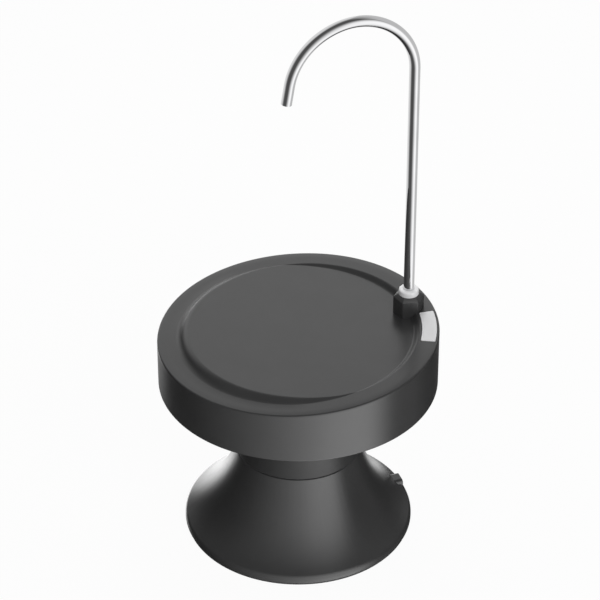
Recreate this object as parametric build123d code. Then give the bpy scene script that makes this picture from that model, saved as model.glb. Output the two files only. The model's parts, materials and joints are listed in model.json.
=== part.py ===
"""Battery water pump that stands on a jug's shoulder and carries a round cup tray and a gooseneck.

Millimetres. The origin is the middle of the foot's underside, +Z is up and the spout stands at +Y.
Heights are measured from the surface that the foot stands on, bearings in degrees from +X.
"""
import math
import os

from build123d import *

# Flared foot
foot_radius = 87.5
foot_lip_height = 5.0
foot_lip_round = 4.6
foot_sole_round = 1.0
foot_flare_radius = 100.0
foot_wall = 3.2
foot_flange_thickness = 3.0
seam_height = 69.5
seam_groove = 0.6

# Soft ring that the foot stands on
foot_ring_thickness = 1.5
foot_ring_width = 6.5
foot_ring_inset = 1.0
foot_ring_upstand = 3.5
foot_ring_fit = 0.2

# Collar between foot and tray
collar_radius = 47.0
collar_flare = 1.0
collar_flare_rise = 12.0
collar_flare_radius = 73.0
collar_wall = 2.5
collar_boss_radius = 4.0
collar_boss_inset = 3.5
collar_screw_count = 3
collar_screw_bearing = 90.0
collar_headroom = 5.5

# Tray
tray_radius = 105.0
tray_depth = 42.1
tray_wall = 2.5
tray_edge_round = 1.5
tray_foot_round = 1.0
tray_bottom_thickness = 3.0
tray_bottom_clearance = 0.3
tray_boss_radius = 4.0
tray_boss_inset = 6.5
tray_screw_count = 6
tray_screw_bearing = 45.0
rim_slant = 2.8
rim_width = 15.8
disc_rise = 0.8
band_height = 8.0
band_width = 8.6

# Gooseneck spout
spout_inset = 18.4
spout_rise = 208.2
tube_radius = 4.0
tube_wall = 0.6
tube_depth = 33.0
first_bend_radius = 43.7
first_bend_turn = 103.4
second_bend_radius = 51.8
second_bend_turn = 67.4
outlet_length = 14.0

# Spout socket, swivel bushing and elbow
socket_corner_radius = 11.6
socket_turn = -11.6
socket_rise = 15.9
socket_chamfer = 2.4
socket_shank_radius = 9.5
socket_fit = 0.2
socket_seat_radius = 13.5
socket_seat_drop = 5.6
socket_nut_radius = 13.0
socket_nut_thickness = 5.0
bushing_radius = 7.45
bushing_rise = 4.4
bushing_edge = 1.4
bushing_shank_radius = 6.5
bushing_depth = 24.0
bushing_head_gap = 0.1
swivel_clearance = 0.05
tube_clearance = 0.05
seal_thickness = 2.5
elbow_wall = 2.0
elbow_foot_gap = 7.0
elbow_sump = 6.0
elbow_overlap = 9.5

# Dispense key
key_margin = 2.0
key_width = 11.0
key_half_span = 11.1
key_socket_gap = 0.3
key_corner_round = 1.2
key_proud = 0.3
key_skirt_depth = 3.2
key_gap = 0.35
key_pocket_depth = 4.8
key_flange_width = 1.3
key_flange_half_span = 7.0
key_flange_thickness = 1.2
key_flange_gap = 0.4
key_travel = 1.0
key_stem_radius = 2.0
key_stem_inset = 2.0
key_stem_length = 3.0
key_stem_gap = 0.2

# Sleeve for the jug's neck, and the deck on it that carries the pump
neck_bore_radius = 28.0
neck_sleeve_wall = 3.0
neck_sleeve_length = 46.0
neck_sleeve_clearance = 0.3
neck_flange_thickness = 1.5
neck_flange_gap = 1.0
deck_edge_thickness = 1.5
deck_thickness = 3.5
neck_seal_thickness = 10.0
neck_seal_bore = 14.0
neck_seal_lap = 1.2
neck_seal_fit = 0.2

# Pump and motor
spigot_radius = 4.0
spigot_bore = 2.5
spigot_reach = 9.0
spigot_shoulder = 0.4
spigot_clearance = 0.3
gasket_radius = 9.0
gasket_thickness = 1.0
pump_cover_thickness = 3.0
pump_chamber_wall = 3.5
pump_chamber_depth = 10.5
pump_roof = 3.5
pump_edge = 3.0
pump_screw_count = 3
pump_screw_bearing = 30.0
pump_screw_gap = 2.35
nipple_radius = 4.0
nipple_bore = 2.5
nipple_boss_radius = 5.5
nipple_length = 12.0
impeller_side_gap = 1.1
impeller_end_gap = 1.5
impeller_height = 7.0
impeller_plate = 1.5
impeller_hub_radius = 4.6
impeller_vane_count = 6
impeller_vane_thickness = 1.6
shaft_radius = 1.5
shaft_clearance = 0.05
motor_radius = 13.85
motor_length = 32.0
motor_wall = 1.2
motor_screw_spacing = 16.0
armature_side_gap = 3.15
armature_end_gap = 7.0

# Delivery hose
hose_radius = 5.5
hose_fit = 0.05
hose_lift = 10.6
hose_overlap = 10.0
hose_hole_gap = 1.5
hose_motor_gap = 0.95
clip_width = 4.0
clip_thickness = 1.2
clip_fit = 0.05

# Battery
cell_radius = 9.2
cell_length = 65.0
cell_apart = 1.6
cell_gap = 0.2
holder_floor = 2.5
holder_wall = 2.2
holder_height = 11.0
holder_boss_gap = 0.9

# Control board and key switch
board_lag = 7.2
board_setback = 13.0
board_length = 34.0
board_width = 32.0
board_thickness = 1.6
board_inset = 3.5
board_post_radius = 3.2
switch_size = 6.0
switch_height = 3.5
switch_button_radius = 1.7
switch_button_height = 1.2

# Charging port
port_bearing = 92.7
port_inset = 2.1
port_boss_depth = 22.0
port_boss_top = 13.8
port_boss_round = 3.0
port_roof = 1.7
port_floor = 2.4
port_cheek = 1.2
port_width = 8.9
port_thickness = 3.2
port_depth = 7.4
port_shell_wall = 0.3
port_setback = 0.4
port_gap = 0.2
port_tongue_thickness = 0.7
charge_board_width = 9.6
charge_board_thickness = 1.2

# Wires and screws
lead_radius = 1.4
lead_hole_radius = 3.0
lead_tail_inset = 4.0
lead_bend_radius = 5.0
screw_radius = 1.4
screw_head_radius = 2.7
screw_head_height = 1.8
screw_recess_depth = 1.0
screw_recess_width = 0.5
screw_clearance = 0.3
screw_bite = 9.0
thread_gap = 0.05
small_screw_radius = 1.0
small_head_radius = 1.8
small_head_height = 1.2
small_bite = 2.2
screw_end_gap = 0.5

# Sizes of foot and collar that follow
seam_radius = collar_radius + collar_flare
lip_top = foot_ring_thickness + foot_lip_height
foot_flange_underside = seam_height - foot_flange_thickness
neck_sleeve_radius = neck_bore_radius + neck_sleeve_wall
neck_sleeve_foot = seam_height - neck_sleeve_length
neck_flange_radius = seam_radius - collar_wall - neck_flange_gap
deck_underside = seam_height + neck_flange_thickness
deck_edge_top = deck_underside + deck_edge_thickness
deck_top = deck_underside + deck_thickness
neck_seal_bottom = deck_underside - neck_seal_thickness
collar_screw_circle = collar_radius - collar_wall - collar_boss_inset

# Sizes of pump and motor that follow
pump_screw_circle = motor_radius + small_head_radius + pump_screw_gap
pump_radius = pump_screw_circle + pump_edge
pump_chamber_radius = pump_screw_circle - pump_chamber_wall
pump_cover_bottom = deck_top + gasket_thickness
pump_chamber_floor = pump_cover_bottom + pump_cover_thickness
pump_chamber_top = pump_chamber_floor + pump_chamber_depth
motor_foot = pump_chamber_top + pump_roof
motor_top = motor_foot + motor_length
impeller_radius = pump_chamber_radius - impeller_side_gap
impeller_bottom = pump_chamber_floor + impeller_end_gap
impeller_top = impeller_bottom + impeller_height
armature_radius = motor_radius - motor_wall - armature_side_gap
nipple = (0.0, motor_radius + hose_radius + clip_thickness + hose_motor_gap)
nipple_top = motor_foot + nipple_length
spigot_stem_radius = spigot_radius - spigot_shoulder

# Sizes of tray, spout and key that follow
tray_underside = motor_top + collar_headroom
tray_floor = tray_underside + tray_bottom_thickness
tray_inner_radius = tray_radius - tray_wall
rim_height = tray_underside + tray_depth
rim_rise = math.tan(math.radians(rim_slant))
rim_normal = (0, -math.sin(math.radians(rim_slant)), math.cos(math.radians(rim_slant)))
rim_plane = Plane(origin=(0, 0, rim_height), x_dir=(1, 0, 0), z_dir=rim_normal)
disc_height = rim_height + disc_rise
rim_inner_radius = tray_radius - rim_width
spout = (0.0, tray_radius - spout_inset)
socket_top = disc_height + socket_rise
socket_seat_height = disc_height - tray_wall - socket_seat_drop
bushing_top = socket_top + bushing_rise
bushing_foot = socket_top - bushing_depth
seal_seat = bushing_foot - bushing_head_gap - seal_thickness
tube_foot = socket_top - tube_depth
bend_start = rim_height + spout_rise
elbow_floor = tray_floor + elbow_foot_gap
elbow_radius = socket_shank_radius + socket_fit + elbow_wall
socket_foot = elbow_floor + elbow_sump
elbow_nipple_end = spout[1] - elbow_radius - hose_overlap - clip_width
hose_run_height = elbow_floor + hose_lift
hose_bend_radius = hose_run_height - tray_floor
key_outer_radius = tray_radius - key_margin
key_inner_radius = key_outer_radius - key_width
socket_half_width = socket_corner_radius * math.cos(math.radians(30))
key_end_bearing = 90 - math.degrees((socket_half_width + key_socket_gap) / key_inner_radius)
key_bearing = key_end_bearing - key_half_span
key_flange_low = -key_skirt_depth - key_flange_thickness

# Sizes of battery and charging port that follow
cell_spacing = 2 * cell_radius + cell_apart
holder_width = cell_spacing + 2 * (cell_radius + holder_wall)
holder_end = cell_length / 2 + holder_wall + cell_gap
port_face = foot_radius - port_inset
port_boss_back = port_face - port_boss_depth
port_front = port_face - port_setback
port_back = port_front - port_depth
port_height = port_boss_top - port_roof - port_thickness / 2
charge_board_top = port_height - port_thickness / 2
charge_board_bottom = charge_board_top - charge_board_thickness
port_boss_width = charge_board_width + 2 * (port_gap + port_cheek)
port_place = Rot(0, 0, port_bearing - 90)

# Drawing helpers
UPRIGHT = (Align.CENTER, Align.CENTER, Align.MIN)
MIDDLE = (0.0, 0.0)
PAST = 1.0
TALL = rim_height + tray_radius
ALONG_Y = Rot(-90, 0, 0)


def bearing_point(radius, bearing):
    """Plan point at a distance from the middle and a bearing."""
    angle = math.radians(bearing)
    return (radius * math.cos(angle), radius * math.sin(angle))


def circle_points(radius, count, first_bearing):
    """Evenly spaced plan points round the middle."""
    return [bearing_point(radius, first_bearing + 360.0 * step / count) for step in range(count)]


def post(radius, bottom, top, at=MIDDLE):
    """Upright round bar between two heights."""
    return Pos(at[0], at[1], bottom) * Cylinder(radius, top - bottom, align=UPRIGHT)


def hole(radius, bottom, top, at=MIDDLE):
    """Cutter for a round hole that runs right through between two heights."""
    return post(radius, bottom - PAST, top + PAST, at)


def holes(radius, bottom, top, points):
    """Cutters for the same through hole at several points."""
    return [hole(radius, bottom, top, at) for at in points]


def blind_holes(radius, mouth, end, points):
    """Cutters for blind holes that open at the mouth's height."""
    open_end = mouth + math.copysign(PAST, mouth - end)
    return [post(radius, min(open_end, end), max(open_end, end), at) for at in points]


def ring(outer, inner, bottom, top, at=MIDDLE):
    """Upright tube between two heights."""
    return post(outer, bottom, top, at) - hole(inner, bottom, top, at)


def frustum(bottom_radius, top_radius, bottom, top):
    """Upright cone between two heights."""
    return Pos(0, 0, bottom) * Cone(bottom_radius, top_radius, top - bottom, align=UPRIGHT)


def block(width, near, far, bottom, top):
    """Rectangular bar centred on X, between two places along Y and two heights."""
    return Pos(0, (near + far) / 2, bottom) * Box(width, far - near, top - bottom, align=UPRIGHT)


def bar_along_y(radius, near, far, height):
    """Round bar along Y above the middle line."""
    return Pos(0, near, height) * ALONG_Y * Cylinder(radius, far - near, align=UPRIGHT)


def turned(outline):
    """Solid turned round the upright axis from an outline of (radius, height) lines."""
    return revolve(Plane.XZ * make_face(outline), axis=Axis.Z)


def swept(radius, path):
    """Round bar along a path."""
    return sweep(Plane(path @ 0, z_dir=path % 0) * Circle(radius), path=path)


def joined(*solids):
    """Several solids fused into one."""
    total = solids[0]
    for solid in solids[1:]:
        total = total + solid
    return total


def without(solid, cutters):
    """A solid with each cutter taken out of it."""
    for cutter in cutters:
        solid = solid - cutter
    return solid


def group(solids):
    """Identical loose pieces kept as separate solids of one node."""
    return Compound(children=list(solids))


def flare_outline(top, bottom, radius, wall):
    """Closed outline of a flared wall of even width, from its top edge to its foot."""
    outside = RadiusArc(top, bottom, -radius)
    inside = RadiusArc((bottom[0] - wall, bottom[1]), (top[0] - wall, top[1]), radius)
    return [outside, Line(outside @ 1, inside @ 0), inside, Line(inside @ 1, outside @ 0)]


# Places that several pieces share
collar_screw_points = circle_points(collar_screw_circle, collar_screw_count, collar_screw_bearing)
tray_screw_points = circle_points(tray_inner_radius - tray_boss_inset, tray_screw_count, tray_screw_bearing)
pump_screw_points = circle_points(pump_screw_circle, pump_screw_count, pump_screw_bearing)
motor_screw_points = [(-motor_screw_spacing / 2, 0.0), (motor_screw_spacing / 2, 0.0)]
holder_far_edge = min(y for x, y in tray_screw_points) + tray_boss_radius + holder_boss_gap
holder_middle = holder_far_edge + holder_width / 2
cell_rows = [holder_middle - cell_spacing / 2, holder_middle + cell_spacing / 2]
key_stem_point = bearing_point(key_inner_radius + key_stem_inset, key_bearing)
rim_at_stem = rim_height + key_stem_point[1] * rim_rise
switch_top = rim_at_stem + key_flange_low - key_stem_length - key_travel - key_stem_gap
board_top = switch_top - switch_button_height - switch_height
board_bottom = board_top - board_thickness
board_bearing = key_bearing - board_lag
board_middle = bearing_point(key_inner_radius + key_stem_inset - board_setback, board_bearing)
board_place = Pos(*board_middle, board_bottom) * Rot(0, 0, board_bearing)


def on_board(along, across):
    """Plan point of a place on the control board, measured from its middle."""
    place = (board_place * Pos(along, across, 0)).position
    return (place.X, place.Y)


post_along = board_length / 2 - board_inset
post_across = board_width / 2 - board_inset
board_posts = [on_board(-post_along, -post_across), on_board(-post_along, post_across),
               on_board(post_along, -post_across)]

# Routes of the wires: the ends follow what they join, the points between are placed by hand
board_tail = lead_tail_inset - board_length / 2
charge_tail = on_board(board_tail, 6.5)
motor_tail = on_board(board_tail, 0.5)
battery_tail = on_board(board_tail, -5.5)
charge_lead_hole = (12.0, 38.0)
motor_lead_hole = (8.0, 0.0)
charge_lead_height = charge_board_top + lead_radius + thread_gap
lead_crossing = tray_floor + 8.0
lead_rise = board_bottom - 9.8
lead_rest = tray_floor + 5.0
charge_lead_start = bearing_point(port_boss_back + lead_tail_inset, port_bearing)
charge_lead_turn = bearing_point(port_boss_back - 7.0, port_bearing)
charge_lead_points = [(*charge_lead_start, charge_lead_height), (*charge_lead_turn, charge_lead_height),
                      (4, 50, 28), (*charge_lead_hole, 50), (*charge_lead_hole, lead_crossing),
                      (*charge_tail, lead_rise), (*charge_tail, board_bottom)]
motor_lead_points = [(*motor_lead_hole, motor_top), (*motor_lead_hole, lead_crossing),
                     (20, 34, lead_rise - 4), (*motor_tail, lead_rise), (*motor_tail, board_bottom)]
battery_lead_points = [(holder_end, holder_middle, lead_rest + 1), (46, holder_middle, lead_rest + 1),
                       (52, -30, lead_rest - 0.5), (*on_board(-44, -36), lead_rest + 0.5),
                       (*on_board(-27.5, -12), lead_rise - 5), (*battery_tail, lead_rise),
                       (*battery_tail, board_bottom)]


# Foot and collar
def outer_edge(solid, height):
    """Widest round edge of a turned solid at a height."""
    circles = solid.edges().filter_by(GeomType.CIRCLE)
    level = circles.filter_by_position(Axis.Z, height - PAST / 2, height + PAST / 2)
    return level.sort_by(SortBy.RADIUS)[-1:]


def make_flared_base():
    top = (seam_radius, seam_height)
    wall = turned(flare_outline(top, (foot_radius, lip_top), foot_flare_radius, foot_wall))
    shell = wall + ring(foot_radius, foot_radius - foot_wall, foot_ring_thickness, lip_top)
    shell = fillet(outer_edge(shell, lip_top), foot_lip_round)
    shell = fillet(outer_edge(shell, foot_ring_thickness), foot_sole_round)
    top_edge = shell.edges().group_by(Axis.Z)[-1].sort_by(SortBy.LENGTH)[-1:]
    shell = chamfer(top_edge, seam_groove)
    flange_hole = neck_sleeve_radius + neck_sleeve_clearance
    flange = ring(seam_radius - foot_wall / 2, flange_hole, foot_flange_underside, seam_height)
    boss = block(port_boss_width, port_boss_back, port_face, charge_board_bottom - port_floor, port_boss_top)
    boss = fillet(boss.edges().filter_by(Axis.Y).group_by(Axis.Z)[-1], port_boss_round)
    boss = port_place * fillet(boss.edges().group_by(Axis.Y)[-1], foot_sole_round / 2)
    slot = SlotOverall(port_width + 2 * port_gap, port_thickness + 2 * port_gap)
    mouth = Plane.XZ.offset(-port_face - PAST) * Pos(0, port_height, 0)
    pocket_top = port_height + port_thickness / 2 + port_gap
    pocket = block(charge_board_width + 2 * port_gap, port_boss_back - PAST, port_back + port_gap,
                   charge_board_bottom, pocket_top)
    cuts = [port_place * mouth * extrude(slot, amount=port_face + PAST - port_back + port_gap)]
    cuts.append(port_place * pocket)
    cuts += holes(screw_radius + screw_clearance, foot_flange_underside, seam_height, collar_screw_points)
    cuts.append(hole(lead_hole_radius, foot_flange_underside, seam_height, charge_lead_hole))
    return without(joined(shell, flange, boss), cuts)


def make_foot_ring():
    inner = foot_radius - foot_ring_inset - foot_ring_width
    flat = ring(foot_radius - foot_ring_inset, inner, 0.0, foot_ring_thickness)
    upstand_top = foot_ring_thickness + foot_ring_upstand
    return flat + ring(foot_radius - foot_wall - foot_ring_fit, inner, foot_ring_thickness, upstand_top)


def make_neck_collar():
    flare_top = seam_height + collar_flare_rise
    seam = (seam_radius, seam_height)
    shell = turned(flare_outline((collar_radius, flare_top), seam, collar_flare_radius, collar_wall))
    shell = chamfer(shell.edges().group_by(Axis.Z)[0].sort_by(SortBy.LENGTH)[-1:], seam_groove)
    shell = shell + ring(collar_radius, collar_radius - collar_wall, flare_top, tray_underside)
    inside = post(collar_radius - collar_wall / 2, deck_edge_top, tray_underside)
    pillars = [post(collar_boss_radius, deck_edge_top, tray_underside, at) for at in collar_screw_points]
    bosses = [pillar & inside for pillar in pillars]
    pilot = screw_radius + thread_gap
    depth = screw_bite + screw_end_gap
    cuts = blind_holes(pilot, deck_edge_top, deck_edge_top + depth, collar_screw_points)
    cuts += blind_holes(pilot, tray_underside, tray_underside - depth, collar_screw_points)
    return without(joined(shell, *bosses), cuts)


def make_neck_sleeve():
    body = post(neck_sleeve_radius, neck_sleeve_foot, deck_underside)
    body = body + post(neck_flange_radius, seam_height, deck_underside)
    cuts = [hole(neck_bore_radius, neck_sleeve_foot, deck_underside)]
    cuts += blind_holes(neck_bore_radius + neck_seal_lap, deck_underside, neck_seal_bottom, [MIDDLE])
    cuts += holes(screw_radius + screw_clearance, seam_height, deck_underside, collar_screw_points)
    cuts.append(hole(lead_hole_radius, seam_height, deck_underside, charge_lead_hole))
    return without(body, cuts)


def make_pump_deck():
    body = post(neck_sleeve_radius, deck_underside, deck_top)
    body = body + post(neck_flange_radius, deck_underside, deck_edge_top)
    cuts = [hole(spigot_stem_radius + spigot_clearance, deck_underside, deck_top)]
    cuts += holes(screw_radius + screw_clearance, deck_underside, deck_edge_top, collar_screw_points)
    cuts.append(hole(lead_hole_radius, deck_underside, deck_edge_top, charge_lead_hole))
    pilot_end = deck_top - small_bite - screw_end_gap
    cuts += blind_holes(small_screw_radius + thread_gap, deck_top, pilot_end, pump_screw_points)
    return without(body, cuts)


def make_neck_seal():
    outer = neck_bore_radius + neck_seal_lap - neck_seal_fit
    return ring(outer, neck_seal_bore, neck_seal_bottom, deck_underside)


# Pump and motor
def make_inlet_gasket():
    return ring(gasket_radius, spigot_stem_radius + spigot_clearance, deck_top, pump_cover_bottom)


def make_inlet_spigot():
    tip = deck_underside - spigot_reach
    stem = post(spigot_stem_radius, deck_underside, pump_chamber_floor)
    return post(spigot_radius, tip, deck_underside) + stem - hole(spigot_bore, tip, pump_chamber_floor)


def make_pump_cover():
    disc = post(pump_radius, pump_cover_bottom, pump_chamber_floor)
    cuts = [hole(spigot_stem_radius + thread_gap, pump_cover_bottom, pump_chamber_floor)]
    cuts += holes(small_screw_radius + thread_gap, pump_cover_bottom, pump_chamber_floor, pump_screw_points)
    return without(disc, cuts)


def make_pump_housing():
    body = post(pump_radius, pump_chamber_floor, motor_foot)
    boss = post(nipple_boss_radius, pump_chamber_floor, motor_foot, nipple)
    stub = post(nipple_radius, motor_foot, nipple_top, nipple)
    channel_height = pump_chamber_floor + pump_chamber_depth / 2
    cuts = blind_holes(pump_chamber_radius, pump_chamber_floor, pump_chamber_top, [MIDDLE])
    cuts += blind_holes(nipple_bore, nipple_top, channel_height, [nipple])
    cuts.append(bar_along_y(nipple_bore, 0.0, nipple[1], channel_height))
    cuts.append(hole(shaft_radius + 2 * shaft_clearance, pump_chamber_top, motor_foot))
    through = small_screw_radius + thread_gap
    cuts += holes(through, pump_chamber_floor, motor_foot, pump_screw_points)
    cuts += holes(through, pump_chamber_top, motor_foot, motor_screw_points)
    head_top = pump_chamber_top + small_head_height
    cuts += blind_holes(small_head_radius + screw_clearance, pump_chamber_top, head_top, motor_screw_points)
    return without(joined(body, boss, stub), cuts)


def make_impeller():
    hub = post(impeller_hub_radius, impeller_bottom, impeller_top)
    plate = post(impeller_radius, impeller_top - impeller_plate, impeller_top)
    limit = post(impeller_radius, impeller_bottom, impeller_top)
    blade = Pos(impeller_radius / 2, 0, impeller_bottom) * Box(
        impeller_radius, impeller_vane_thickness, impeller_height - impeller_plate / 2, align=UPRIGHT)
    turns = [360.0 * step / impeller_vane_count for step in range(impeller_vane_count)]
    vanes = [Rot(0, 0, turn) * blade & limit for turn in turns]
    wheel = joined(hub, plate, *vanes)
    return wheel - hole(shaft_radius + shaft_clearance / 2, impeller_bottom, impeller_top)


def make_motor_shaft():
    return post(shaft_radius, impeller_bottom, motor_top + motor_wall)


def make_motor_armature():
    bore = shaft_radius + shaft_clearance / 2
    return ring(armature_radius, bore, motor_foot + armature_end_gap, motor_top - armature_end_gap)


def make_motor_can():
    can = post(motor_radius, motor_foot, motor_top)
    cuts = [post(motor_radius - motor_wall, motor_foot + 2 * motor_wall, motor_top - motor_wall)]
    cuts.append(hole(shaft_radius + shaft_clearance, motor_foot, motor_top))
    pilot = small_screw_radius + thread_gap
    cuts += blind_holes(pilot, motor_foot, motor_foot + small_bite, motor_screw_points)
    return without(can, cuts)


# Delivery hose
def make_delivery_hose():
    """Hose from the pump's nipple straight up, then over to the elbow under the spout."""
    start = (0, nipple[1], nipple_top - hose_overlap)
    corner = (0, nipple[1], hose_run_height)
    end = (0, elbow_nipple_end + hose_overlap, hose_run_height)
    path = FilletPolyline(start, corner, end, radius=hose_bend_radius)
    return swept(hose_radius, path) - swept(nipple_radius + hose_fit, path)


def make_hose_clips():
    inner = hose_radius + clip_fit
    outer = inner + clip_thickness
    low = nipple_top - hose_overlap / 2 - clip_width / 2
    near = elbow_nipple_end + hose_overlap / 2 - clip_width / 2
    far = near + clip_width
    across = bar_along_y(outer, near, far, hose_run_height)
    across = across - bar_along_y(inner, near - PAST, far + PAST, hose_run_height)
    return group([ring(outer, inner, low, low + clip_width, nipple), across])


# Tray
def tray_form(radius, drop, bottom):
    """Solid under the tray's top skin, with the skin lowered by drop.

    The rim is a slanted ring of even width. The disc in it is level: it stands proud of the low side
    of the rim and lies below the high side, with a sloping band from the rim's inner edge to it.
    """
    slanted = rim_plane.offset(-drop)
    level = Plane.XY.offset(disc_height - drop)
    body = split(post(radius, bottom, TALL), bisect_by=slanted, keep=Keep.BOTTOM)
    narrow = rim_inner_radius - band_width
    mound = slanted * frustum(rim_inner_radius, narrow, 0.0, band_height)
    bowl = slanted * frustum(narrow, rim_inner_radius, -band_height, 0.0)
    body = body + split(mound, bisect_by=level, keep=Keep.BOTTOM)
    return body - split(bowl, bisect_by=level, keep=Keep.TOP)


def key_sector(inner, outer, half_span):
    """Flat piece of a ring about the key's bearing, with rounded corners."""
    bearings = (key_bearing - half_span, key_bearing, key_bearing + half_span)
    outer_arc = ThreePointArc(*[bearing_point(outer, bearing) for bearing in bearings])
    inner_arc = ThreePointArc(*[bearing_point(inner, bearing) for bearing in reversed(bearings)])
    near_side = Line(outer_arc @ 1, inner_arc @ 0)
    far_side = Line(inner_arc @ 1, outer_arc @ 0)
    face = make_face([outer_arc, near_side, inner_arc, far_side])
    return fillet(face.vertices(), key_corner_round)


def on_rim(sketch, low, high):
    """A sketch extruded square to the slanted rim, from one depth to another."""
    return extrude(rim_plane.offset(low) * sketch, amount=high - low, dir=rim_normal)


def make_tray_cover():
    body = tray_form(tray_radius, 0.0, tray_underside)
    body = fillet(body.edges().sort_by(SortBy.LENGTH)[-1:], tray_edge_round)
    body = fillet(body.edges().group_by(Axis.Z)[0], tray_foot_round)
    cover = body - tray_form(tray_inner_radius, tray_wall, tray_underside - PAST)
    inside_skin = tray_form(tray_inner_radius + tray_wall / 2, tray_wall / 2, tray_underside)
    bosses = [post(tray_boss_radius, tray_floor, TALL, at) & inside_skin for at in tray_screw_points]
    bosses.append(post(socket_seat_radius, socket_seat_height, TALL, spout) & inside_skin)
    pilot_end = tray_floor + screw_bite + screw_end_gap
    cuts = blind_holes(screw_radius + thread_gap, tray_floor, pilot_end, tray_screw_points)
    cuts.append(hole(socket_shank_radius + socket_fit, socket_seat_height, TALL, spout))
    window_half_span = key_half_span + math.degrees(key_gap / key_outer_radius)
    window = key_sector(key_inner_radius - key_gap, key_outer_radius + key_gap, window_half_span)
    cuts.append(on_rim(window, -key_pocket_depth, PAST))
    return without(joined(cover, *bosses), cuts)


def make_tray_bottom():
    plate = post(tray_inner_radius - tray_bottom_clearance, tray_underside, tray_floor)
    posts = [post(board_post_radius, tray_floor, board_bottom, at) for at in board_posts]
    through = screw_radius + screw_clearance
    cuts = holes(through, tray_underside, tray_floor, tray_screw_points + collar_screw_points)
    seat = tray_underside + screw_head_height
    cuts += blind_holes(screw_head_radius + screw_clearance, tray_underside, seat, tray_screw_points)
    cuts += blind_holes(small_screw_radius + thread_gap, board_bottom, board_bottom - screw_bite, board_posts)
    cuts.append(hole(hose_radius + hose_hole_gap, tray_underside, tray_floor, nipple))
    cuts += holes(lead_hole_radius, tray_underside, tray_floor, [charge_lead_hole, motor_lead_hole])
    return without(joined(plate, *posts), cuts)


def make_dispense_key():
    cap = on_rim(key_sector(key_inner_radius, key_outer_radius, key_half_span), -key_skirt_depth, key_proud)
    flange_outer = tray_inner_radius - key_flange_gap - key_gap
    lip = key_sector(key_inner_radius - key_flange_width, flange_outer, key_flange_half_span)
    flange = on_rim(lip, key_flange_low, -tray_wall - key_flange_gap)
    stem_end = Pos(*key_stem_point, 0) * Circle(key_stem_radius)
    stem = on_rim(stem_end, key_flange_low - key_stem_length, key_flange_low)
    return joined(cap, flange, stem)


# Spout
def make_spout_socket():
    hexagon = RegularPolygon(socket_corner_radius, 6, rotation=90 + socket_turn)
    head = Pos(*spout, socket_seat_height) * extrude(hexagon, amount=socket_top - socket_seat_height)
    head = chamfer(head.edges().group_by(Axis.Z)[-1], socket_chamfer)
    head = head - tray_form(tray_radius, 0.0, tray_underside)
    shank = post(socket_shank_radius, socket_foot, socket_top - socket_chamfer, spout)
    cuts = blind_holes(bushing_shank_radius + swivel_clearance, socket_top, seal_seat, [spout])
    cuts.append(hole(tube_radius + elbow_wall / 2, socket_foot, seal_seat, spout))
    cuts.append(bar_along_y(nipple_bore, spout[1] - elbow_radius, spout[1], hose_run_height))
    return without(head + shank, cuts)


def make_socket_nut():
    nut_bottom = socket_seat_height - socket_nut_thickness
    nut = Pos(*spout, nut_bottom) * extrude(RegularPolygon(socket_nut_radius, 6), amount=socket_nut_thickness)
    return nut - hole(socket_shank_radius + thread_gap, nut_bottom, socket_seat_height, spout)


def make_spout_elbow():
    top = socket_foot + elbow_overlap
    cup = post(elbow_radius, elbow_floor, top, spout)
    arm = bar_along_y(nipple_radius, elbow_nipple_end, spout[1], hose_run_height)
    cuts = blind_holes(socket_shank_radius + socket_fit, top, socket_foot, [spout])
    cuts.append(post(tube_radius + elbow_wall / 2, elbow_floor + elbow_wall, top, spout))
    cuts.append(bar_along_y(nipple_bore, elbow_nipple_end - PAST, spout[1], hose_run_height))
    return without(cup + arm, cuts)


def make_spout_seal():
    outer = bushing_shank_radius - swivel_clearance
    return ring(outer, tube_radius + tube_clearance, seal_seat, seal_seat + seal_thickness, spout)


def make_spout_bushing():
    head_bottom = socket_top + bushing_head_gap
    head = post(bushing_radius, head_bottom, bushing_top, spout)
    head = fillet(head.edges().group_by(Axis.Z)[-1], bushing_edge)
    body = head + post(bushing_shank_radius, bushing_foot, head_bottom, spout)
    return body - hole(tube_radius + tube_clearance, bushing_foot, bushing_top, spout)


def bend(centre, radius, first_turn, last_turn):
    """Arc in the plane of the gooseneck. Turns are measured at its centre from +Y towards +Z."""
    points = []
    for turn in (first_turn, (first_turn + last_turn) / 2, last_turn):
        along, up = bearing_point(radius, turn)
        points.append((0, centre[0] + along, centre[1] + up))
    return ThreePointArc(*points)


def make_spout_tube():
    """Bent tube: upright, a bend over the top, then a wider bend down to a straight outlet."""
    rise = Line((*spout, tube_foot), (*spout, bend_start))
    first_centre = (spout[1] - first_bend_radius, bend_start)
    step = second_bend_radius - first_bend_radius
    turn = math.radians(first_bend_turn)
    second_centre = (first_centre[0] - step * math.cos(turn), first_centre[1] - step * math.sin(turn))
    first = bend(first_centre, first_bend_radius, 0.0, first_bend_turn)
    second = bend(second_centre, second_bend_radius, first_bend_turn, first_bend_turn + second_bend_turn)
    outlet = Line(second @ 1, second @ 1 + outlet_length * (second % 1))
    path = Wire([rise, first, second, outlet])
    return swept(tube_radius, path) - swept(tube_radius - tube_wall, path)


# Battery, boards and charging port
def cell(y, grown):
    """One round cell lying along X, grown by a gap where it is used as a cutter."""
    height = tray_floor + holder_floor + cell_gap + cell_radius
    return Pos(0, y, height) * Rot(0, 90, 0) * Cylinder(cell_radius + grown, cell_length + 2 * grown)


def make_battery_cells():
    return group([cell(y, 0.0) for y in cell_rows])


def make_battery_holder():
    near_edge = holder_far_edge + holder_width
    body = block(2 * holder_end, holder_far_edge, near_edge, tray_floor, tray_floor + holder_height)
    return without(body, [cell(y, cell_gap) for y in cell_rows])


def make_control_board():
    board = board_place * Box(board_length, board_width, board_thickness, align=UPRIGHT)
    return without(board, holes(small_screw_radius + screw_clearance, board_bottom, board_top, board_posts))


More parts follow.
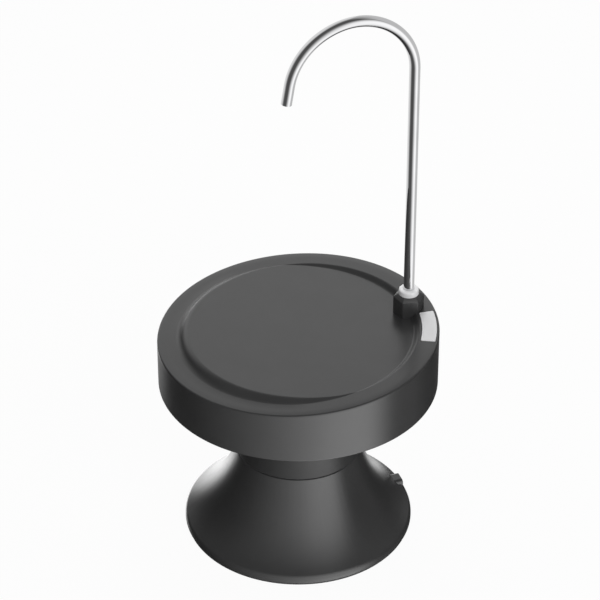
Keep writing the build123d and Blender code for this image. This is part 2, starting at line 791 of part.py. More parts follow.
def make_key_switch():
    place = Pos(*key_stem_point, board_top) * Rot(0, 0, board_bearing)
    body = place * Box(switch_size, switch_size, switch_height, align=UPRIGHT)
    return body + post(switch_button_radius, board_top + switch_height, switch_top, key_stem_point)


def make_charge_board():
    inner_end = port_boss_back + port_setback
    return port_place * block(charge_board_width, inner_end, port_back, charge_board_bottom, charge_board_top)


def make_charge_receptacle():
    face = Plane.XZ.offset(-port_front) * Pos(0, port_height, 0)
    shell = face * extrude(SlotOverall(port_width, port_thickness), amount=port_depth)
    inside = SlotOverall(port_width - 2 * port_shell_wall, port_thickness - 2 * port_shell_wall)
    hollow = face * extrude(inside, amount=port_depth - port_shell_wall)
    tongue = face * extrude(Rectangle(port_width - port_thickness, port_tongue_thickness), amount=port_depth)
    return port_place * (shell - hollow + tongue)


def lead(points):
    """Round wire bundle through its points, with an arc at each corner."""
    return swept(lead_radius, FilletPolyline(*points, radius=lead_bend_radius))


# Fasteners
def screw(at, seat, end, radius, head_radius, head_height):
    """Pan head screw with a cross recess, from the height under its head to the height of its tip."""
    crown = seat + math.copysign(head_height, seat - end)
    shank = post(radius, min(seat, end), max(seat, end), at)
    head = post(head_radius, min(seat, crown), max(seat, crown), at)
    place = Pos(at[0], at[1], crown)
    slots = [place * Box(head_radius, screw_recess_width, 2 * screw_recess_depth),
             place * Box(screw_recess_width, head_radius, 2 * screw_recess_depth)]
    return without(shank + head, slots)


def screws(points, seat, end):
    sizes = (screw_radius, screw_head_radius, screw_head_height)
    return group([screw(at, seat, end, *sizes) for at in points])


def small_screws(points, seat, end):
    sizes = (small_screw_radius, small_head_radius, small_head_height)
    return group([screw(at, seat, end, *sizes) for at in points])


motor_screw_seat = pump_chamber_top + small_head_height
motor_screw_end = motor_foot + small_bite - screw_end_gap
nodes = {
    "flared_base": make_flared_base(),
    "foot_ring": make_foot_ring(),
    "neck_collar": make_neck_collar(),
    "neck_sleeve": make_neck_sleeve(),
    "pump_deck": make_pump_deck(),
    "neck_seal": make_neck_seal(),
    "inlet_gasket": make_inlet_gasket(),
    "inlet_spigot": make_inlet_spigot(),
    "pump_cover": make_pump_cover(),
    "pump_housing": make_pump_housing(),
    "impeller": make_impeller(),
    "motor_shaft": make_motor_shaft(),
    "motor_armature": make_motor_armature(),
    "motor_can": make_motor_can(),
    "delivery_hose": make_delivery_hose(),
    "hose_clips": make_hose_clips(),
    "tray_cover": make_tray_cover(),
    "tray_bottom": make_tray_bottom(),
    "dispense_key": make_dispense_key(),
    "spout_socket": make_spout_socket(),
    "socket_nut": make_socket_nut(),
    "spout_elbow": make_spout_elbow(),
    "spout_seal": make_spout_seal(),
    "spout_bushing": make_spout_bushing(),
    "spout_tube": make_spout_tube(),
    "battery_holder": make_battery_holder(),
    "battery_cells": make_battery_cells(),
    "control_board": make_control_board(),
    "key_switch": make_key_switch(),
    "charge_board": make_charge_board(),
    "charge_receptacle": make_charge_receptacle(),
    "charge_lead": lead(charge_lead_points),
    "motor_lead": lead(motor_lead_points),
    "battery_lead": lead(battery_lead_points),
    "base_screws": screws(collar_screw_points, foot_flange_underside, deck_edge_top + screw_bite),
    "collar_screws": screws(collar_screw_points, tray_floor, tray_underside - screw_bite),
    "tray_screws": screws(tray_screw_points, tray_underside + screw_head_height, tray_floor + screw_bite),
    "pump_screws": small_screws(pump_screw_points, motor_foot, deck_top - small_bite),
    "motor_screws": small_screws(motor_screw_points, motor_screw_seat, motor_screw_end),
    "board_screws": small_screws(board_posts, board_top, board_bottom - screw_bite + screw_end_gap),
}

os.makedirs("parts", exist_ok=True)
for name, shape in nodes.items():
    export_step(shape, f"parts/{name}.step")
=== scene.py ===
"""Looks of the water jug pump: camera, light, finishes, and the pieces with finer form than their solids.

Metres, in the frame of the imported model: +Z up along the tray's axis, +Y from it towards the spout.
"""
import json
import math

import bmesh
import bpy
import numpy as np
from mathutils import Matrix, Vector


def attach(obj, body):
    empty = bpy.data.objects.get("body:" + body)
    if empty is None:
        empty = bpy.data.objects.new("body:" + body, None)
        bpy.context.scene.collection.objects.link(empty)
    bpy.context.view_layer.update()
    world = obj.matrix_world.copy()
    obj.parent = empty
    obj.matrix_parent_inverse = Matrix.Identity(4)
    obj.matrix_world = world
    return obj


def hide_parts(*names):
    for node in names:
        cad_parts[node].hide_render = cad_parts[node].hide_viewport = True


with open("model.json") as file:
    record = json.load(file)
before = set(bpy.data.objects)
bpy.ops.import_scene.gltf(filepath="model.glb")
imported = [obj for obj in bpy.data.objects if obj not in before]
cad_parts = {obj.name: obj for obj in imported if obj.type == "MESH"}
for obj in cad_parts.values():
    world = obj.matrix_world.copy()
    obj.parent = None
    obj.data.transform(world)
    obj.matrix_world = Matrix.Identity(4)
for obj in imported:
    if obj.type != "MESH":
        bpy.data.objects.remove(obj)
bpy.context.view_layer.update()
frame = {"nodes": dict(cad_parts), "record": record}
nodes = frame["nodes"]
scene = bpy.context.scene
MM = 0.001

# Tray, as in the part's source, with how softly its band meets the disc and the rim
tray_radius = 105.0 * MM
tray_underside = 130.0 * MM
tray_wall = 2.5 * MM
tray_edge_round = 1.5 * MM
tray_foot_round = 1.0 * MM
rim_height = 172.1 * MM
rim_slant = math.radians(2.8)
disc_height = 172.9 * MM
rim_inner_radius = 89.2 * MM
band_slope = 8.0 / 8.6
proud_band_softness = 2.4 * MM
sunk_band_softness = 1.1 * MM
spout_reach = 86.6 * MM
spout_hole_radius = 9.7 * MM

# Spacing of the tray's rings of points, close together across the band
points_round = 320
middle_radius = 0.0005
disc_radii = (0.03, 0.06, 0.078)
band_start = 0.0815
band_end = 0.0915
band_step = 0.00025
rim_middle = 0.098
inside_disc_radius = 0.05
inside_band_step = 0.001

# Dispense key
key_inner_radius = 92.0 * MM
key_outer_radius = 103.0 * MM
key_bearing = math.radians(72.46)
key_half_span = math.radians(11.1)
key_corner_round = 1.2 * MM
key_least_corner = 0.1 * MM
key_edge_round = 0.45 * MM
key_proud = 0.3 * MM
key_skirt = 3.2 * MM
key_gap = 0.35 * MM
key_pocket_depth = 4.8 * MM

# Shapes that cut the tray: the key's reach above the rim, and the ends of the bar for the spout's hole
key_cut_reach = 2.0 * MM
spout_cut_low = tray_underside + 20.0 * MM
spout_cut_high = rim_height + 30.0 * MM

# Spout socket
socket_edge_round = 0.5 * MM

# Gooseneck
tube_radius = 4.0 * MM
tube_wall = 0.6 * MM
tube_sides = 48
tube_foot = 155.8 * MM
bend_start = 380.3 * MM
first_bend_radius = 43.7 * MM
first_bend_turn = 103.4
first_bend_steps = 60
second_bend_radius = 51.8 * MM
second_bend_turn = 67.4
second_bend_steps = 40
outlet_length = 14.0 * MM

# Camera, from the fit to the photograph
camera_bearing = math.radians(72.79)
camera_distance = 1.6314
camera_height = 1.2940
camera_dip = math.radians(33.851)
camera_aside = math.radians(0.049)
camera_lens = 159.83
camera_sensor = 36.0

# Light levels, where 1 is white
ambient_level = 0.32
satin_base = 0.05
tall_panel_level = 3.2
pale_dome_level = 1.3
left_strip_level = 2.7
right_strip_level = 1.8
upper_fill_level = 0.25
right_fill_level = 0.2
mirror_base = 0.1
white_screen_level = 1.3
left_screen_level = 0.85
right_screen_level = 0.6

# Lean of the studio's edges, in turn for each degree of rise, and how fast the tall panel thins to the left
panel_lean = 0.18
strip_lean = 0.6
panel_falloff = 2.2

# Floor, and the height that the lamps are pointed at
floor_reach = 9.0
floor_tone = 0.85
floor_roughness = 0.9
floor_glow = 0.95
lamp_aim_height = 0.15

# Noise in finishes: the range that its values mostly keep to, and features per metre
noise_low = 0.3
noise_high = 0.7
cloud_scale = 45.0
sheen_scale = 320.0
metal_cloud_scale = 60.0

rim_normal = Vector((0.0, -math.sin(rim_slant), math.cos(rim_slant)))
around = np.linspace(0.0, 2 * math.pi, points_round, endpoint=False)


# Finishes
def new_finish(name):
    """New node material, with its tree, its shader and the coordinates of the piece it is on."""
    material = bpy.data.materials.new(name)
    material.use_nodes = True
    tree = material.node_tree
    shader = tree.nodes["Principled BSDF"]
    place = tree.nodes.new("ShaderNodeTexCoord")
    return material, tree, shader, place.outputs["Object"]


def noise(tree, place, scale, detail=3.0):
    """Noise that is fixed to the piece. The scale is in features per metre."""
    texture = tree.nodes.new("ShaderNodeTexNoise")
    texture.inputs["Scale"].default_value = scale
    texture.inputs["Detail"].default_value = detail
    tree.links.new(place, texture.inputs["Vector"])
    return texture.outputs["Fac"]


def stretched(tree, place, scale):
    """The same place with each axis scaled, for streaks and wound layers."""
    mapping = tree.nodes.new("ShaderNodeMapping")
    mapping.inputs["Scale"].default_value = scale
    tree.links.new(place, mapping.inputs["Vector"])
    return mapping.outputs["Vector"]


def spread(tree, value, low, high):
    """A noise value brought to a range."""
    node = tree.nodes.new("ShaderNodeMapRange")
    node.inputs["From Min"].default_value = noise_low
    node.inputs["From Max"].default_value = noise_high
    node.inputs["To Min"].default_value = low
    node.inputs["To Max"].default_value = high
    tree.links.new(value, node.inputs["Value"])
    return node.outputs["Result"]


def tint(tree, value, dark, light):
    """Colour between two tones, led by a noise value."""
    ramp = tree.nodes.new("ShaderNodeValToRGB")
    ramp.color_ramp.elements[0].position = noise_low
    ramp.color_ramp.elements[0].color = (*dark, 1.0)
    ramp.color_ramp.elements[1].position = noise_high
    ramp.color_ramp.elements[1].color = (*light, 1.0)
    tree.links.new(value, ramp.inputs["Fac"])
    return ramp.outputs["Color"]


def relief(tree, value, depth, shader):
    """Fine surface relief of a real depth."""
    bump = tree.nodes.new("ShaderNodeBump")
    bump.inputs["Strength"].default_value = 1.0
    bump.inputs["Distance"].default_value = depth
    tree.links.new(value, bump.inputs["Height"])
    tree.links.new(bump.outputs["Normal"], shader.inputs["Normal"])


def moulded(name, dark, light, roughness, grain, depth, **constants):
    """Moulded plastic or rubber: faint clouding of the colour, uneven sheen and a fine spark grain."""
    material, tree, shader, place = new_finish(name)
    cloud = tint(tree, noise(tree, place, cloud_scale), dark, light)
    sheen = spread(tree, noise(tree, place, sheen_scale), *roughness)
    tree.links.new(cloud, shader.inputs["Base Color"])
    tree.links.new(sheen, shader.inputs["Roughness"])
    relief(tree, noise(tree, place, grain, detail=2.0), depth, shader)
    for socket_name, value in constants.items():
        shader.inputs[socket_name.replace("_", " ")].default_value = value
    return material


def metal(name, dark, light, roughness, line_scale, depth):
    """Metal with fine lines from its working, stretched along one axis."""
    material, tree, shader, place = new_finish(name)
    lines = noise(tree, stretched(tree, place, line_scale), 1.0, detail=2.0)
    cloud = tint(tree, noise(tree, place, metal_cloud_scale), dark, light)
    tree.links.new(cloud, shader.inputs["Base Color"])
    tree.links.new(spread(tree, lines, *roughness), shader.inputs["Roughness"])
    relief(tree, lines, depth, shader)
    shader.inputs["Metallic"].default_value = 1.0
    return material


def grey(level):
    """Neutral grey, a touch cool."""
    return (level, level, level * 1.01)


# Each has its dark and light tone, range of roughness, grain per metre and the grain's depth
finishes = {
    "charcoal_plastic": moulded("charcoal_plastic", grey(0.028), grey(0.032), (0.275, 0.305),
                                800.0, 0.003 * MM),
    # Matt charcoal for the collar. Its darker tones and lower specular level are painted shade from the tray
    # above.
    "matt_charcoal_with_painted_shade": moulded("matt_charcoal_with_painted_shade", grey(0.024), grey(0.029), (0.34, 0.40),
                             800.0, 0.004 * MM, Specular_IOR_Level=0.3),
    "black_plastic": moulded("black_plastic", grey(0.036), grey(0.042), (0.32, 0.40),
                             800.0, 0.004 * MM),
    "inner_plastic": moulded("inner_plastic", grey(0.32), grey(0.37), (0.42, 0.52),
                             1500.0, 0.010 * MM),
    "grey_bushing": moulded("grey_bushing", grey(0.90), grey(0.95), (0.30, 0.38),
                            900.0, 0.004 * MM),
    "key_plastic": moulded("key_plastic", grey(0.78), grey(0.82), (0.30, 0.38),
                           900.0, 0.004 * MM),
    "soft_rubber": moulded("soft_rubber", grey(0.022), grey(0.032), (0.68, 0.82),
                           1200.0, 0.030 * MM),
    "hose_silicone": moulded("hose_silicone", grey(0.52), grey(0.60), (0.34, 0.44),
                             900.0, 0.008 * MM),
    "circuit_board": moulded("circuit_board", (0.012, 0.10, 0.035), (0.02, 0.15, 0.055), (0.30, 0.42),
                             700.0, 0.020 * MM),
    "cell_wrap": moulded("cell_wrap", (0.05, 0.15, 0.38), (0.07, 0.19, 0.45), (0.24, 0.34),
                         600.0, 0.010 * MM),
    "wire_cover": moulded("wire_cover", grey(0.016), grey(0.026), (0.45, 0.58),
                          1400.0, 0.012 * MM),
    "polished_steel": metal("polished_steel", grey(0.66), grey(0.70), (0.001, 0.003),
                            (2600.0, 2600.0, 90.0), 0.0004 * MM),
    "plain_steel": metal("plain_steel", grey(0.48), grey(0.56), (0.24, 0.36),
                         (1500.0, 1500.0, 160.0), 0.004 * MM),
    "copper_winding": metal("copper_winding", (0.60, 0.28, 0.13), (0.72, 0.36, 0.18), (0.26, 0.38),
                            (140.0, 140.0, 2400.0), 0.040 * MM),
}


def dress(piece, finish):
    """Gives a piece one of the finishes, and nothing else."""
    piece.data.materials.clear()
    piece.data.materials.append(finishes[finish])


# The collar is the one piece that is more matt than its slot's finish. Its darker colour and weaker
# reflection are painted shade from the tray above it.
for subpart in frame["record"]["subparts"]:
    dress(nodes[subpart["node"]], subpart["material_slot"])
dress(nodes["neck_collar"], "matt_charcoal_with_painted_shade")


# Mesh helpers
def new_piece(name, vertices, faces):
    """Object at the origin from points and faces, with its normals turned outwards."""
    mesh = bpy.data.meshes.new(name)
    mesh.from_pydata([tuple(v) for v in vertices], [], faces)
    work = bmesh.new()
    work.from_mesh(mesh)
    bmesh.ops.remove_doubles(work, verts=work.verts, dist=1e-7)
    bmesh.ops.recalc_face_normals(work, faces=work.faces)
    work.to_mesh(mesh)
    work.free()
    piece = bpy.data.objects.new(name, mesh)
    scene.collection.objects.link(piece)
    return piece


def settle(piece):
    """Applies all modifiers, so that a plain mesh is left."""
    evaluated = piece.evaluated_get(bpy.context.evaluated_depsgraph_get())
    mesh = bpy.data.meshes.new_from_object(evaluated)
    mesh.name = piece.name
    if piece.type == "MESH":
        piece.modifiers.clear()
        piece.data = mesh
        return piece
    settled = bpy.data.objects.new(piece.name + "_piece", mesh)
    scene.collection.objects.link(settled)
    bpy.data.objects.remove(piece)
    return settled


def shade(piece, angle):
    """Smooth shading that keeps edges sharper than an angle in degrees."""
    piece.data.shade_smooth()
    piece.data.set_sharp_from_angle(angle=math.radians(angle))


def loft(rings):
    """Faces between rings of the same number of points."""
    count = len(rings[0])
    vertices = [point for ring in rings for point in ring]
    faces = []
    for level in range(len(rings) - 1):
        for step in range(count):
            after = (step + 1) % count
            low = level * count
            faces.append((low + step, low + after, low + count + after, low + count + step))
    return vertices, faces


def capped(rings):
    """Closed shape from rings, with a face over each end."""
    vertices, faces = loft(rings)
    count = len(rings[0])
    faces.append(tuple(range(count)))
    faces.append(tuple(range(len(vertices) - count, len(vertices))))
    return vertices, faces


def round_bar(radius, low, high, centre, count=64):
    """Closed upright bar."""
    turns = np.linspace(0.0, 2 * math.pi, count, endpoint=False)
    rings = []
    for z in (low, high):
        ring = []
        for turn in turns:
            ring.append(Vector((centre[0] + radius * math.cos(turn), centre[1] + radius * math.sin(turn), z)))
        rings.append(ring)
    return capped(rings)


def cut(piece, cutter):
    """Takes one closed piece out of another."""
    modifier = piece.modifiers.new("cut", "BOOLEAN")
    modifier.operation = "DIFFERENCE"
    modifier.solver = "EXACT"
    modifier.object = cutter
    settle(piece)
    bpy.data.objects.remove(cutter)


def soften(node, name, width):
    """Copy of a node's mesh with its triangles joined and its edges rounded."""
    work = bmesh.new()
    work.from_mesh(nodes[node].data)
    bmesh.ops.remove_doubles(work, verts=work.verts, dist=1e-6)
    bmesh.ops.dissolve_limit(work, angle_limit=math.radians(0.5), verts=work.verts, edges=work.edges)
    mesh = bpy.data.meshes.new(name)
    work.to_mesh(mesh)
    work.free()
    piece = bpy.data.objects.new(name, mesh)
    scene.collection.objects.link(piece)
    bevel = piece.modifiers.new("edges", "BEVEL")
    bevel.width = width
    bevel.segments = 3
    bevel.limit_method = "ANGLE"
    bevel.angle_limit = math.radians(28)
    settle(piece)
    shade(piece, angle=30)
    return piece


# Tray cover: slanted rim, level disc, and a band between them with softened edges
def round_off(higher, lower, softness):
    """Smooth version of the larger of two heights."""
    overlap = np.maximum(softness - np.abs(higher - lower), 0.0) / softness
    return np.maximum(higher, lower) + overlap ** 2 * softness / 4


def skin_height(radius):
    """Heights of the tray's top skin round one radius: from the rim the band climbs or falls to the disc."""
    rim = rim_height + radius * np.sin(around) * math.tan(rim_slant)
    step = disc_height - rim
    softness = np.where(step > 0, proud_band_softness, sunk_band_softness)
    softness = np.minimum(softness, np.abs(step)) + 1e-9
    band = round_off(np.full_like(rim, band_slope * (rim_inner_radius - radius)), 0.0, softness)
    return rim - np.sign(step) * round_off(-np.abs(step), -band, softness)


def level_ring(radius, heights):
    """Ring of points at one radius, with a height for each point."""
    heights = np.broadcast_to(heights, around.shape)
    return np.column_stack([radius * np.cos(around), radius * np.sin(around), heights])


def tray_rings():
    """Rings from the middle of the disc over the rim, down the wall and back along the inside."""
    quarter = np.radians(np.linspace(0.0, 90.0, 7))
    across_band = np.arange(band_start, band_end, band_step)
    radii = [middle_radius, *disc_radii, *across_band, rim_middle, tray_radius - tray_edge_round]
    rings = [level_ring(radius, skin_height(radius)) for radius in radii]
    edge_height = skin_height(tray_radius - tray_edge_round)
    for turn in quarter[1:]:
        out = tray_radius - tray_edge_round * (1 - math.sin(turn))
        rings.append(level_ring(out, edge_height - tray_edge_round * (1 - math.cos(turn))))
    wall_top = edge_height - tray_edge_round
    wall_foot = tray_underside + tray_foot_round
    # Rings close to the wall's ends keep its shading straight
    for share in (0.02, 0.5, 0.98):
        rings.append(level_ring(tray_radius, wall_top * (1 - share) + wall_foot * share))
    for turn in quarter:
        out = tray_radius - tray_foot_round * (1 - math.cos(turn))
        rings.append(level_ring(out, wall_foot - tray_foot_round * math.sin(turn)))
    inner = tray_radius - tray_wall
    rings.append(level_ring(inner, tray_underside))
    back_across_band = np.arange(band_start, band_end, inside_band_step)[::-1]
    inside = [inner, rim_middle, *back_across_band, inside_disc_radius, middle_radius]
    rings += [level_ring(radius, skin_height(radius) - tray_wall) for radius in inside]
    return rings


def towards(turn):
    """Plan direction at a bearing."""
    return Vector((math.cos(turn), math.sin(turn)))


def key_outline(grow):
    """Plan outline of the key with rounded corners, grown outwards by a distance.

    It goes round by its four corners, with the inner arc after the second and the outer arc after the last.
    """
    inner = key_inner_radius - grow
    outer = key_outer_radius + grow
    corner = max(key_corner_round + grow, key_least_corner)
    points = []
    for radius, side, sense in ((outer, 1, -1), (inner, 1, 1), (inner, -1, 1), (outer, -1, -1)):
        middle_reach = radius + sense * corner
        half = key_half_span + grow / radius - corner / middle_reach
        corner_bearing = key_bearing + side * half
        centre = towards(corner_bearing) * middle_reach
        radial = towards(corner_bearing) * -sense
        tangent = Vector((-math.sin(corner_bearing), math.cos(corner_bearing))) * side
        turns = np.linspace(0.0, math.pi / 2, 7)
        if (radius == outer) == (side == -1):
            turns = turns[::-1]
        for turn in turns:
            points.append(centre + radial * (corner * math.cos(turn)) + tangent * (corner * math.sin(turn)))
        if (radius == inner) == (side == 1):
            sweep = np.linspace(corner_bearing, key_bearing - side * half, 15)[1:-1]
            points += [towards(turn) * radius for turn in sweep]
    return points


def on_rim(outline, depth):
    """Outline points set on the rim's slanted plane, at a depth square to it."""
    ring = []
    for point in outline:
        base = Vector((point.x, point.y, rim_height + point.y * math.tan(rim_slant)))
        ring.append(base + rim_normal * depth)
    return ring


def make_tray_cover():
    """The moulding, with the key's pocket and the hole for the spout taken out."""
    cover = new_piece("tray_cover_moulding", *capped(tray_rings()))
    window = key_outline(key_gap)
    pocket = [on_rim(window, -key_pocket_depth), on_rim(window, key_cut_reach)]
    cut(cover, new_piece("key_pocket", *capped(pocket)))
    hole = round_bar(spout_hole_radius, spout_cut_low, spout_cut_high, (0.0, spout_reach))
    cut(cover, new_piece("spout_hole", *hole))
    shade(cover, angle=40)
    return cover


def make_key():
    """The key's cap, with a rounded edge round its face."""
    rings = [on_rim(key_outline(0.0), -key_skirt)]
    for turn in np.radians(np.linspace(0.0, 90.0, 6)):
        inset = key_edge_round * (1 - math.cos(turn))
        rings.append(on_rim(key_outline(-inset), key_proud - key_edge_round * (1 - math.sin(turn))))
    key = new_piece("key_cap", *capped(rings))
    shade(key, angle=50)
    return key


# Gooseneck: a tube swept along its bent centre line
def bend(centre, radius, start, end, steps):
    """Points of an arc in the plane of the bends, after its first. The angles are in degrees."""
    points = []
    for turn in np.radians(np.linspace(start, end, steps + 1)[1:]):
        points.append((centre[0] + radius * math.cos(turn), centre[1] + radius * math.sin(turn)))
    return points


def gooseneck_line():
    """Points of the centre line from the foot to the outlet, in the plane of the bends."""
    whole_turn = first_bend_turn + second_bend_turn
    points = [(spout_reach, tube_foot), (spout_reach, bend_start)]
    centre = (spout_reach - first_bend_radius, bend_start)
    points += bend(centre, first_bend_radius, 0.0, first_bend_turn, first_bend_steps)
    step = second_bend_radius - first_bend_radius
    change = math.radians(first_bend_turn)
    centre = (centre[0] - step * math.cos(change), centre[1] - step * math.sin(change))
    points += bend(centre, second_bend_radius, first_bend_turn, whole_turn, second_bend_steps)
    end = math.radians(whole_turn)
    last_y, last_z = points[-1]
    points.append((last_y - outlet_length * math.sin(end), last_z + outlet_length * math.cos(end)))
    return points


def sweep_tree(material):
    """Node tree that sweeps a round tube along the curve it is put on, and the sizes for its inputs."""
    tree = bpy.data.node_groups.new("tube_sweep", "GeometryNodeTree")
    tree.interface.new_socket("Geometry", in_out="INPUT", socket_type="NodeSocketGeometry")
    radius = tree.interface.new_socket("Tube radius", in_out="INPUT", socket_type="NodeSocketFloat")
    sides = tree.interface.new_socket("Sides", in_out="INPUT", socket_type="NodeSocketInt")
    tree.interface.new_socket("Geometry", in_out="OUTPUT", socket_type="NodeSocketGeometry")
    start = tree.nodes.new("NodeGroupInput")
    end = tree.nodes.new("NodeGroupOutput")
    profile = tree.nodes.new("GeometryNodeCurvePrimitiveCircle")
    sweep = tree.nodes.new("GeometryNodeCurveToMesh")
    realize = tree.nodes.new("GeometryNodeRealizeInstances")
    coat = tree.nodes.new("GeometryNodeSetMaterial")
    coat.inputs["Material"].default_value = material
    tree.links.new(start.outputs["Tube radius"], profile.inputs["Radius"])
    tree.links.new(start.outputs["Sides"], profile.inputs["Resolution"])
    tree.links.new(start.outputs["Geometry"], sweep.inputs["Curve"])
    tree.links.new(profile.outputs["Curve"], sweep.inputs["Profile Curve"])
    tree.links.new(sweep.outputs["Mesh"], realize.inputs["Geometry"])
    tree.links.new(realize.outputs["Geometry"], coat.inputs["Geometry"])
    tree.links.new(coat.outputs["Geometry"], end.inputs["Geometry"])
    return tree, {radius.identifier: tube_radius, sides.identifier: tube_sides}


def make_gooseneck():
    """The swept tube with its wall turned inwards."""
    line = bpy.data.curves.new("gooseneck", "CURVE")
    line.dimensions = "3D"
    spline = line.splines.new("POLY")
    points = gooseneck_line()
    spline.points.add(len(points) - 1)
    for target, (y, z) in zip(spline.points, points):
        target.co = (0.0, y, z, 1.0)
    path = bpy.data.objects.new("gooseneck", line)
    scene.collection.objects.link(path)
    tree, sizes = sweep_tree(finishes["polished_steel"])
    sweep = path.modifiers.new("sweep", "NODES")
    sweep.node_group = tree
    for identifier, value in sizes.items():
        sweep[identifier] = value
    tube = settle(path)
    wall = tube.modifiers.new("wall", "SOLIDIFY")
    wall.thickness = tube_wall
    wall.offset = -1.0
    settle(tube)
    shade(tube, angle=50)
    return tube


# Pieces that stand in for their nodes
cover = make_tray_cover()
dress(cover, "charcoal_plastic")
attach(cover, "pump_body")
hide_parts("tray_cover")

key = make_key()
dress(key, "key_plastic")
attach(key, "key")
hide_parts("dispense_key")

socket = soften("spout_socket", "spout_socket_moulding", socket_edge_round)
dress(socket, "black_plastic")
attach(socket, "pump_body")
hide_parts("spout_socket")

gooseneck = make_gooseneck()
dress(gooseneck, "polished_steel")
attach(gooseneck, "gooseneck")
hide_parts("spout_tube")


# Camera
def on_bearing(bearing, distance, height):
    """Place at a distance from the tray's axis, on a bearing as the camera's is given."""
    return (distance * math.sin(bearing), -distance * math.cos(bearing), height)


def set_camera():
    """Camera at the photograph's viewing angle."""
    camera = bpy.data.cameras.new("camera")
    camera.sensor_width = camera_sensor
    camera.lens = camera_lens
    camera.clip_end = 50.0
    holder = bpy.data.objects.new("camera", camera)
    holder.location = on_bearing(camera_bearing, camera_distance, camera_height)
    holder.rotation_euler = (math.pi / 2 - camera_dip, 0.0, camera_bearing - camera_aside)
    scene.collection.objects.link(holder)
    scene.camera = holder


# Studio: white surround, pale floor, soft lamps, and the panels that the gloss shows
def calculate(tree, operation, *values):
    """Math node whose inputs are numbers or other nodes' outputs."""
    node = tree.nodes.new("ShaderNodeMath")
    node.operation = operation
    for entry, value in zip(node.inputs, values):
        if isinstance(value, (int, float)):
            entry.default_value = value
        else:
            tree.links.new(value, entry)
    return node.outputs["Value"]


def fade(tree, value, start, end, soft=True):
    """0 before the start and 1 after the end, which may lie the other way round. Both are in degrees."""
    node = tree.nodes.new("ShaderNodeMapRange")
    node.interpolation_type = "SMOOTHSTEP" if soft else "LINEAR"
    low, high = sorted((start, end))
    node.inputs["From Min"].default_value = math.radians(low)
    node.inputs["From Max"].default_value = math.radians(high)
    node.inputs["To Min"].default_value = 0.0 if start < end else 1.0
    node.inputs["To Max"].default_value = 1.0 if start < end else 0.0
    tree.links.new(value, node.inputs["Value"])
    return node.outputs["Result"]


def product(tree, *values):
    """All values multiplied."""
    total = values[0]
    for value in values[1:]:
        total = calculate(tree, "MULTIPLY", total, value)
    return total


def together(tree, base, panels):
    """A base level with the panels added to it."""
    total = base
    for panel in panels:
        total = calculate(tree, "ADD", panel, total)
    return total


def patch(tree, turn, rise, sides, ends, level):
    """Bright patch with soft edges. Sides and ends each say where it starts, is full, thins and stops."""
    return product(tree, fade(tree, turn, sides[0], sides[1]), fade(tree, turn, sides[3], sides[2]),
                   fade(tree, rise, ends[0], ends[1]), fade(tree, rise, ends[3], ends[2]), level)


def studio_angles(tree):
    """A ray's turn from the camera's bearing, to its right, and its rise from level."""
    place = tree.nodes.new("ShaderNodeTexCoord")
    facing = tree.nodes.new("ShaderNodeMapping")
    facing.inputs["Rotation"].default_value = (0.0, 0.0, math.pi / 2 - camera_bearing)
    split = tree.nodes.new("ShaderNodeSeparateXYZ")
    tree.links.new(place.outputs["Generated"], facing.inputs["Vector"])
    tree.links.new(facing.outputs["Vector"], split.inputs["Vector"])
    turn = calculate(tree, "ARCTAN2", split.outputs["Y"], split.outputs["X"])
    rise = calculate(tree, "ARCSINE", split.outputs["Z"])
    return turn, rise


def satin_surround(tree, turn, rise):
    """Panels as satin surfaces show them.

    A tall soft panel with a leaning edge stands to the right of the camera, a pale dome behind the object,
    low bright strips on the floor behind each side, and a faint fill above and to the right.
    """
    aside = calculate(tree, "ABSOLUTE", turn)
    lean = calculate(tree, "MULTIPLY_ADD", rise, panel_lean, turn)
    left_lean = calculate(tree, "MULTIPLY_ADD", rise, strip_lean, turn)
    near_side = calculate(tree, "POWER", fade(tree, turn, -110.0, 28.0, soft=False), panel_falloff)
    tall_panel = product(tree, near_side, fade(tree, lean, 80.0, 50.0), fade(tree, rise, 75.0, 10.0),
                         tall_panel_level)
    pale_dome = product(tree, fade(tree, aside, 118.0, 150.0), fade(tree, rise, -2.0, 26.0),
                        fade(tree, rise, 58.0, 24.0), pale_dome_level)
    left_strip = product(tree, fade(tree, left_lean, -144.0, -160.0), fade(tree, rise, -36.0, -28.0),
                         fade(tree, rise, 10.0, -6.0), left_strip_level)
    right_strip = patch(tree, turn, rise, (150.0, 162.0, 180.0, 181.0), (-35.0, -29.0, -26.0, -20.0),
                        right_strip_level)
    upper_fill = product(tree, fade(tree, rise, 10.0, 40.0), upper_fill_level)
    right_fill = patch(tree, turn, rise, (66.0, 90.0, 106.0, 128.0), (-91.0, -90.0, 90.0, 91.0),
                       right_fill_level)
    panels = [tall_panel, pale_dome, left_strip, right_strip, upper_fill, right_fill]
    return together(tree, satin_base, panels)


def mirror_surround(tree, turn, rise):
    """Screens and dark gaps as polished metal shows them: white to the right, paler behind each side."""
    tall = (-60.0, -50.0, 40.0, 95.0)
    white_screen = patch(tree, turn, rise, (-22.0, 48.0, 58.0, 88.0), (-95.0, -35.0, 0.0, 62.0),
                         white_screen_level)
    left_screen = patch(tree, turn, rise, (-181.0, -180.0, -112.0, -58.0), tall, left_screen_level)
    right_screen = patch(tree, turn, rise, (70.0, 85.0, 180.0, 181.0), tall, right_screen_level)
    return together(tree, mirror_base, [white_screen, left_screen, right_screen])


def choose(tree, share, first, second):
    """The second value where the share is 1, and otherwise the first."""
    mix = tree.nodes.new("ShaderNodeMix")
    for name, value in (("Factor", share), ("A", first), ("B", second)):
        if isinstance(value, float):
            mix.inputs[name].default_value = value
        else:
            tree.links.new(value, mix.inputs[name])
    return mix.outputs["Result"]


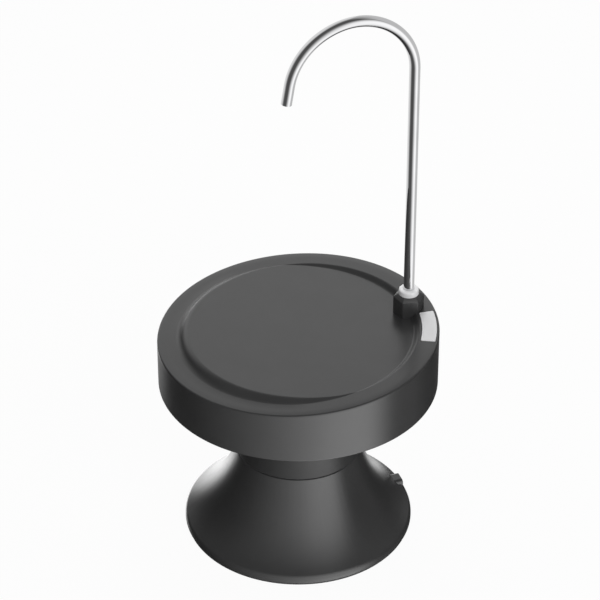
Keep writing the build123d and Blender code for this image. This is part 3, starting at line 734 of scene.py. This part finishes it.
def set_world():
    """White behind the object, with the ambient light and the panels on it."""
    world = bpy.data.worlds.new("studio")
    scene.world = world
    world.use_nodes = True
    tree = world.node_tree
    ray = tree.nodes.new("ShaderNodeLightPath").outputs
    turn, rise = studio_angles(tree)
    satin = satin_surround(tree, turn, rise)
    mirror = mirror_surround(tree, turn, rise)
    in_gloss = choose(tree, ray["Is Singular Ray"], satin, mirror)
    clear = calculate(tree, "MAXIMUM", ray["Is Camera Ray"], ray["Is Transmission Ray"])
    lit = choose(tree, ray["Is Glossy Ray"], ambient_level, in_gloss)
    tree.nodes["Background"].inputs["Color"].default_value = (1.0, 1.0, 1.0, 1.0)
    tree.links.new(choose(tree, clear, lit, 1.0), tree.nodes["Background"].inputs["Strength"])


def make_floor():
    """Pale floor that reads as white and keeps a soft shadow. The panels show in gloss in its place."""
    material = bpy.data.materials.new("pale_floor")
    material.use_nodes = True
    tree = material.node_tree
    shader = tree.nodes["Principled BSDF"]
    shader.inputs["Base Color"].default_value = (floor_tone, floor_tone, floor_tone, 1.0)
    shader.inputs["Roughness"].default_value = floor_roughness
    glow = tree.nodes.new("ShaderNodeEmission")
    mix = tree.nodes.new("ShaderNodeMixShader")
    ray = tree.nodes.new("ShaderNodeLightPath").outputs
    share = calculate(tree, "MULTIPLY", ray["Is Camera Ray"], floor_glow)
    tree.links.new(share, mix.inputs["Fac"])
    tree.links.new(shader.outputs["BSDF"], mix.inputs[1])
    tree.links.new(glow.outputs["Emission"], mix.inputs[2])
    tree.links.new(mix.outputs["Shader"], tree.nodes["Material Output"].inputs["Surface"])
    far = floor_reach
    corners = [(-far, -far, 0), (far, -far, 0), (far, far, 0), (-far, far, 0)]
    floor = new_piece("floor", corners, [(0, 1, 2, 3)])
    floor.data.materials.append(material)
    floor.visible_glossy = False


def soft_box(name, turn, distance, height, side, power):
    """Square lamp, pointed at the object. Its turn is from the camera's bearing, to its right, in degrees."""
    lamp = bpy.data.lights.new(name, "AREA")
    lamp.shape = "RECTANGLE"
    lamp.size = side
    lamp.size_y = side
    lamp.energy = power
    holder = bpy.data.objects.new(name, lamp)
    holder.location = on_bearing(camera_bearing + math.radians(turn), distance, height)
    aim = Vector((0.0, 0.0, lamp_aim_height)) - holder.location
    holder.rotation_euler = aim.to_track_quat("-Z", "Y").to_euler()
    holder.visible_glossy = False
    scene.collection.objects.link(holder)


set_camera()
set_world()
make_floor()
soft_box("overhead", turn=180.0, distance=0.75, height=1.0, side=0.9, power=5.5)
soft_box("fill", turn=25.0, distance=1.3, height=1.0, side=0.8, power=9.0)

scene.view_settings.view_transform = "Standard"
